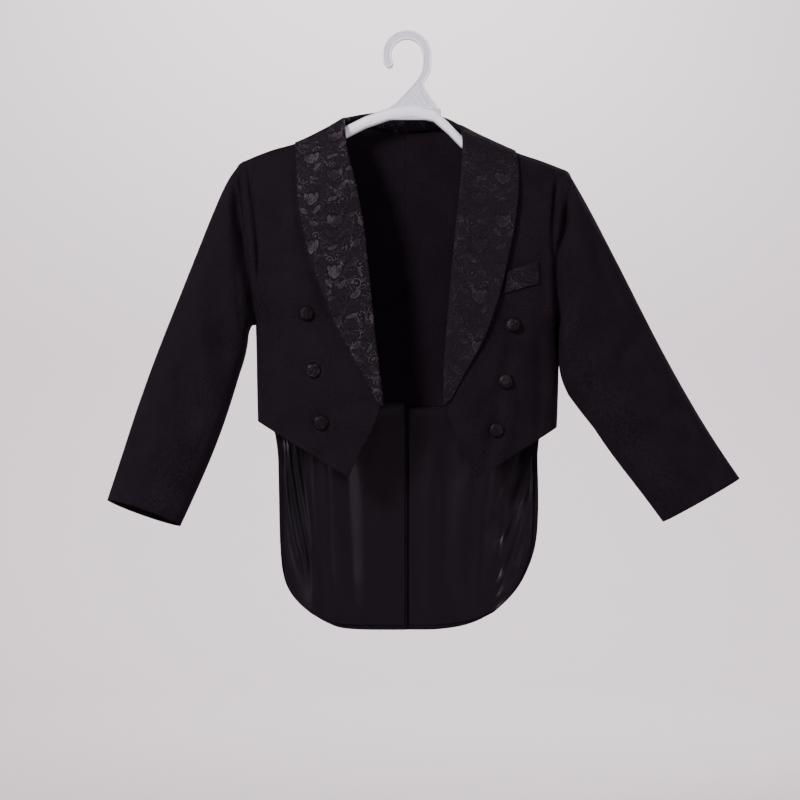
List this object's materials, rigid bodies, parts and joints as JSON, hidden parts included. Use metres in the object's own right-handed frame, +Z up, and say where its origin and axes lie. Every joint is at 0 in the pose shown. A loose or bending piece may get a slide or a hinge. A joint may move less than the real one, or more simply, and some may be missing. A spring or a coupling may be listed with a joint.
{
  "type": "white tie tailcoat",
  "caption": "Child's evening tailcoat with a shawl collar, cutaway fronts and rounded tails, hanging open on a moulded hanger by its hook.",
  "frame": {"origin": "top of the inside of the hanger's hook, where a rail carries it", "axes": "+Z up, the fronts face -Y, the wearer's left is +X"},
  "size_m": [0.7047, 0.0738, 0.671],
  "materials": {
    "black_suiting": "fine twill, matt",
    "black_satin": "satin, soft sheen",
    "black_jacquard": "floral scroll jacquard, satin figure on a matt ground",
    "white_plastic": "moulded, slightly translucent"
  },
  "bodies": {
    "root": {"front_right": "black_suiting", "back_right": "black_suiting", "tail_lining_right": "black_satin", "sleeve_right_top": "black_suiting", "sleeve_right_under": "black_suiting", "collar_right": "black_jacquard", "button_right_1": "black_jacquard", "button_right_2": "black_jacquard", "button_right_3": "black_jacquard", "front_left": "black_suiting", "back_left": "black_suiting", "tail_lining_left": "black_satin", "sleeve_left_top": "black_suiting", "sleeve_left_under": "black_suiting", "collar_left": "black_jacquard", "button_left_1": "black_jacquard", "button_left_2": "black_jacquard", "button_left_3": "black_jacquard", "breast_welt": "black_jacquard", "hanger": "white_plastic"}
  },
  "joints": []
}
